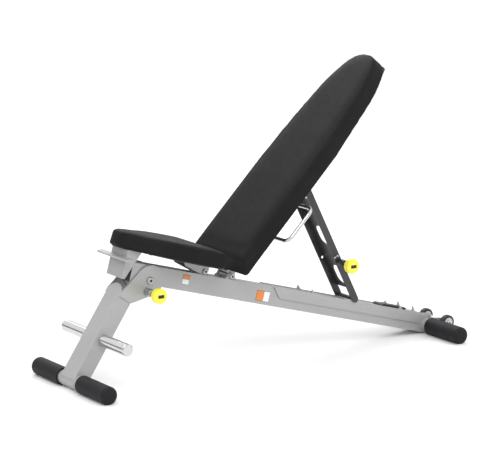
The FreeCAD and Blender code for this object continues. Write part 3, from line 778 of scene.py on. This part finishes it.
    def build(self, shop: Workshop) -> None:
        """Makes the cushion and its seam.

        Args:
            shop: what places and dresses them.
        """
        shape = self.block_out()
        mesh = bpy.data.meshes.new(self.name)
        shape.to_mesh(mesh)
        shape.free()
        made = bpy.data.objects.new(self.name + "_working", mesh)
        bpy.context.scene.collection.objects.link(made)
        self.swell(made)
        self.relax(made.data, 2)
        filled = made.data
        seam = self.seam(filled)
        bpy.data.objects.remove(made)
        for part in (filled, seam):
            part.transform(self.place)
            part.shade_smooth()
        cushion = shop.place_mesh(filled, self.name, self.body, Slot.VINYL)
        finer = cushion.modifiers.new("finer", "SUBSURF")
        finer.levels = 1
        finer.render_levels = 1
        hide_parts(self.node)
        shop.place_mesh(seam, self.name + "_seam", self.body, Slot.VINYL)


def mirrored_outline(half: list) -> list:
    """A closed outline from its left half: each point is X, Y and how far its corner is rounded."""
    return half + [(x, -y, turn) for x, y, turn in reversed(half)]


def back_cushion(places: Places) -> Cushion:
    """The backrest's cushion: parallel sides, a long taper and a round head, with a slanted foot.

    Args:
        places: the bench's frames.

    Returns:
        The cushion, ready to build.
    """
    slim = CUSHION_GAP
    half = [(-0.002 + slim, 0.153 - slim, 0.016), (0.512, 0.153 - slim, 0.130),
            (0.786, 0.117 - slim, 0.060), (0.892 - slim, 0.060, 0.046)]
    return Cushion("back_cushion", "back_pad", Body.BACK, places.back, mirrored_outline(half),
                   base=25.5 * MM, height=56.0 * MM, edge=9.0 * MM, slant=36.0 * MM)


def seat_cushion(places: Places) -> Cushion:
    """The seat's cushion: narrow at the front, widest at the rear.

    Args:
        places: the bench's frames.

    Returns:
        The cushion, ready to build.
    """
    slim = CUSHION_GAP
    half = [(-1.307 + slim, 0.044 - slim, 0.030), (-1.146, 0.141 - slim, 0.060),
            (-1.036, 0.163 - slim, 0.040), (-0.963 - slim, 0.166 - slim, 0.022)]
    return Cushion("seat_cushion", "seat_pad", Body.SEAT, places.rail, mirrored_outline(half),
                   base=39.0 * MM, height=51.0 * MM, edge=9.0 * MM)


# ---------------------------------------------------------------- details


@dataclass
class PullKnobs:
    """The plain black inset on each yellow knob's face."""

    size: tuple = (22.0 * MM, 1.6 * MM, 11.0 * MM)
    edge: float = 0.6 * MM

    def build(self, shop: Workshop) -> None:
        """Makes both insets.

        Args:
            shop: what places and dresses them.
        """
        for name, body in (("leg", Body.LEG_PIN), ("prop", Body.PROP_PIN)):
            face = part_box(name + "_pin_knob")[0][1]
            centre = middle_of(name + "_pin_knob")
            spot = Matrix.Translation((centre.x, face, centre.z))
            shop.add(block(self.size, self.edge), name + "_knob_inset", spot, body, Slot.BLACK_PLASTIC)


@dataclass
class BoltHeads:
    """Thin black hexagons on the right of each pivot bolt, painted shade that stands for the dark inside its
    hexagon socket, and nuts over the left.

    Each bolt is given with its body and the radius of its socket's corners.
    """

    bolts: tuple = (("leg_pivot_bolt", Body.LEG, 5.0 * MM), ("seat_pivot_bolt", Body.FRAME, 4.4 * MM),
                    ("back_pivot_bolt", Body.FRAME, 4.4 * MM), ("prop_pivot_bolt", Body.BACK, 4.4 * MM),
                    ("wheel_axle", Body.FRAME, 3.6 * MM))
    socket_shade_depth: float = 0.3 * MM
    socket_shade_edge: float = 0.1 * MM
    nut_to_socket: float = 2.4
    nut_depth: float = 5.4 * MM
    nut_edge: float = 0.8 * MM
    nut_inset: float = 5.6 * MM

    def build(self, shop: Workshop) -> None:
        """Makes a thin black hexagon of painted socket shade on each right end and a nut's corners on each
        left end.

        Args:
            shop: what places and dresses them.
        """
        for name, body, size in self.bolts:
            low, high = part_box(name)
            centre = middle_of(name)
            right_end = Matrix.Translation((centre.x, low[1], centre.z)) @ cross_turn(Side.RIGHT)
            # painted shade: a black hexagon 0.3 mm proud of the bolt's end stands for the shade inside its
            # socket
            socket = prism(6, size, self.socket_shade_depth, self.socket_shade_edge)
            shop.add(socket, name + "_socket", right_end, body, Slot.BLACK_PLASTIC)
            nut_spot = Matrix.Translation((centre.x, high[1] - self.nut_inset, centre.z))
            nut = prism(6, size * self.nut_to_socket, self.nut_depth, self.nut_edge)
            shop.add(nut, name + "_nut", nut_spot @ cross_turn(Side.LEFT), body, Slot.ZINC)


@dataclass
class Welds:
    """Weld beads where round tubes meet the leg and the rail."""

    places: Places
    bead_radius: float = 2.0 * MM
    leg_half_width: float = 41.5 * MM
    bar_radius: float = 20.5 * MM
    foot_tube_radius: float = 24.0 * MM

    def build(self, shop: Workshop) -> None:
        """Makes a ring square to Y at each joint, on both sides.

        Args:
            shop: what places and dresses them.
        """
        leg_half, rail_half = self.leg_half_width, self.places.rail_half_width
        foot_radius = self.foot_tube_radius
        joints = (("bar_weld", "foot_hold_bar", leg_half, self.bar_radius, Body.LEG),
                  ("front_foot_weld", "front_foot_tube", leg_half, foot_radius, Body.LEG),
                  ("rear_foot_weld", "rear_foot_tube", rail_half, foot_radius, Body.FRAME))
        square_to_y = Matrix.Rotation(math.pi / 2, 4, "X")
        for side in Side:
            for name, tube, half, radius, body in joints:
                axis = middle_of(tube)
                place = Matrix.Translation((axis.x, side.value * half, axis.z)) @ square_to_y
                shop.add(ring(radius, self.bead_radius), "%s_%s" % (name, side.name.lower()), place, body,
                         Slot.SILVER, 60.0)


@dataclass(frozen=True)
class Patch:
    """A plain rectangle of colour on the rail's side, in millimetres in the rail's frame."""

    name: str
    left: float
    right: float
    low: float
    high: float
    colour: tuple
    thick: float


INK = shade(0.03)
ORANGE = (0.72, 0.22, 0.035)
WHITE = (0.78, 0.80, 0.84)


@dataclass
class Labels:
    """Two plain stickers on the rail's right side, with coloured fields and no lettering."""

    places: Places
    edge: float = 0.15 * MM
    patches: tuple = (Patch("label_front_border", -1043, -1015, -41.5, -9.5, INK, 0.5),
                      Patch("label_rear_border", -742, -688, -52.5, -17.5, INK, 0.5),
                      Patch("label_front_band", -1042, -1016, -23.5, -10.5, ORANGE, 0.8),
                      Patch("label_front_field", -1042, -1016, -40.5, -24.5, WHITE, 0.8),
                      Patch("label_rear_band", -741, -713, -51.5, -18.5, ORANGE, 0.8),
                      Patch("label_rear_field", -712, -689, -51.5, -18.5, WHITE, 0.8))

    def sticker(self, shop: Workshop, patch: Patch) -> None:
        """Makes one field of colour.

        Args:
            shop: what places it.
            patch: its name, size, place and colour.
        """
        size = ((patch.right - patch.left) * MM, patch.thick * MM, (patch.high - patch.low) * MM)
        middle = ((patch.left + patch.right) / 2 * MM, -self.places.rail_half_width,
                  (patch.low + patch.high) / 2 * MM)
        shape = block(size, self.edge)
        bmesh.ops.translate(shape, verts=shape.verts, vec=middle)
        made = shop.add(shape, patch.name, self.places.rail, Body.FRAME, Slot.BLACK_PLASTIC)
        lighter = tuple(min(1.0, part * 1.06) for part in patch.colour)
        print_finish = Moulded(patch.name + "_print", patch.colour, lighter, 0.4, 300.0, 0.00005, 0.2)
        made.data.materials.clear()
        made.data.materials.append(print_finish.make())

    def build(self, shop: Workshop) -> None:
        """Makes the fields of both stickers.

        Args:
            shop: what places and dresses them.
        """
        for patch in self.patches:
            self.sticker(shop, patch)


@dataclass
class SmallScrews:
    """Button-head screws: by the prop's pin, and into both boards.

    A row of board screws says how far along, how far to each side and how high they are in the board's frame.
    """

    places: Places
    flange_face: float = -51.0 * MM
    pin_height: float = 152.5 * MM
    beside_pin: tuple = ((-8.0 * MM, 24.0 * MM), (3.0 * MM, 24.0 * MM))
    pin_screw_radius: float = 4.2 * MM
    board_screw_radius: float = 7.0 * MM
    back_row: tuple = ((0.08, 0.26, 0.44, 0.58), 0.055, 22.5 * MM)
    seat_row: tuple = ((-1.19, -1.06), 0.05, 36.4 * MM)

    @staticmethod
    def button(radius: float) -> bmesh.types.BMesh:
        """A domed head on Z."""
        return prism(24, radius, radius * 0.55, radius * 0.5)

    def board_screws(self, shop: Workshop, name: str, board: Matrix, row: tuple, body: Body) -> None:
        """Makes the screws under one board.

        Args:
            shop: what places and dresses them.
            name: what their names start with.
            board: the frame that the board lies in.
            row: how far along each pair is, then how far to each side, then how high.
            body: the body that they ride on.
        """
        stations, across, height = row
        downwards = Matrix.Rotation(math.pi, 4, "X")
        for index, along in enumerate(stations):
            for side in Side:
                place = board @ Matrix.Translation((along, side.value * across, height)) @ downwards
                shop.add(self.button(self.board_screw_radius), "%s_%d_%s" % (name, index, side.name.lower()),
                         place, body, Slot.ZINC)

    def build(self, shop: Workshop) -> None:
        """Makes the screws.

        Args:
            shop: what places and dresses them.
        """
        for index, (across, up) in enumerate(self.beside_pin):
            spot = Matrix.Translation((across, self.flange_face, self.pin_height + up))
            place = self.places.prop @ spot @ cross_turn(Side.RIGHT)
            shop.add(self.button(self.pin_screw_radius), "prop_pin_screw_%d" % index, place, Body.PROP,
                     Slot.CHROME)
        self.board_screws(shop, "back_board_screw", self.places.back, self.back_row, Body.BACK)
        self.board_screws(shop, "seat_board_screw", self.places.rail, self.seat_row, Body.SEAT)


# ---------------------------------------------------------------- studio


@dataclass
class Studio:
    """A pale floor, soft light and the camera.

    Each lamp has a name, a place, a size and a power, and faces the bench. The camera's tilt and swing are in
    degrees. The sky's stops run from the horizon up.
    """

    floor_half: float = 40.0
    floor_grey: float = 0.93
    lens: float = 179.1
    sensor: float = 36.0
    reach: float = 200.0
    eye: tuple = (-4.49895, -6.6879, 2.1082)
    tilt: float = 78.255
    swing: float = -33.62
    aim_height: float = 0.4
    lamps: tuple = (("key", (-2.2, -3.2, 3.6), 2.0, 70.0), ("fill", (3.0, -2.6, 2.2), 2.0, 20.0),
                    ("rim", (1.2, 3.2, 3.0), 2.0, 40.0))
    sky_strength: float = 1.16
    sky_stops: tuple = ((0.02, 0.10), (0.14, 0.16), (0.22, 0.95), (0.9, 1.0))

    def floor(self) -> None:
        """Makes the floor."""
        shape = bmesh.new()
        bmesh.ops.create_grid(shape, x_segments=1, y_segments=1, size=self.floor_half)
        mesh = bpy.data.meshes.new("floor")
        shape.to_mesh(mesh)
        shape.free()
        made = bpy.data.objects.new("floor", mesh)
        bpy.context.scene.collection.objects.link(made)
        graph = Graph("pale_floor")
        mesh.materials.append(graph.dress(Base_Color=(*shade(self.floor_grey), 1.0), Roughness=0.9,
                                          Specular_IOR_Level=0.1))

    def light(self, name: str, place: tuple, size: float, power: float) -> None:
        """Makes a square soft light that faces the bench.

        Args:
            name: the lamp's name.
            place: where it stands.
            size: its width.
            power: its power in watts.
        """
        lamp = bpy.data.lights.new(name, "AREA")
        lamp.size = size
        lamp.energy = power
        made = bpy.data.objects.new(name, lamp)
        made.location = place
        aim = Vector((0, 0, self.aim_height)) - Vector(place)
        made.rotation_euler = aim.to_track_quat("-Z", "Y").to_euler()
        bpy.context.scene.collection.objects.link(made)

    def camera(self) -> None:
        """Makes the camera."""
        lens = bpy.data.cameras.new("camera")
        lens.lens = self.lens
        lens.sensor_width = self.sensor
        lens.sensor_fit = "HORIZONTAL"
        lens.clip_end = self.reach
        made = bpy.data.objects.new("camera", lens)
        made.location = self.eye
        made.rotation_euler = (math.radians(self.tilt), 0.0, math.radians(self.swing))
        bpy.context.scene.collection.objects.link(made)
        bpy.context.scene.camera = made

    def sky(self, tree: bpy.types.NodeTree) -> None:
        """Makes a white room with a dark skirting at the horizon, which gives the chrome its dark lines.

        Args:
            tree: the world's nodes.
        """
        backdrop = tree.nodes["Background"]
        backdrop.inputs["Strength"].default_value = self.sky_strength
        aim = tree.nodes.new("ShaderNodeTexCoord")
        parts = tree.nodes.new("ShaderNodeSeparateXYZ")
        ramp = tree.nodes.new("ShaderNodeValToRGB")
        set_stops(ramp.color_ramp, [(place, shade(grey)) for place, grey in self.sky_stops])
        tree.links.new(aim.outputs["Generated"], parts.inputs[0])
        tree.links.new(parts.outputs["Z"], ramp.inputs[0])
        tree.links.new(ramp.outputs[0], backdrop.inputs["Color"])

    def build(self) -> None:
        """Sets the stage."""
        self.floor()
        self.camera()
        for lamp in self.lamps:
            self.light(*lamp)
        world = bpy.data.worlds.new("studio")
        world.use_nodes = True
        self.sky(world.node_tree)
        bpy.context.scene.world = world
        bpy.context.scene.view_settings.view_transform = "Standard"


def main() -> None:
    """Builds every piece round the CAD frame."""
    logging.basicConfig(level=logging.INFO, format="%(name)s: %(message)s")
    places = Places()
    palette = Palette()
    palette.dress_frame()
    shop = Workshop(palette)
    Studio().build()
    back_cushion(places).build(shop)
    seat_cushion(places).build(shop)
    for group in (PullKnobs(), BoltHeads(), Welds(places), Labels(places), SmallScrews(places)):
        group.build(shop)
    LOG.info("%d new pieces", shop.count)


if __name__ == "__main__":
    main()
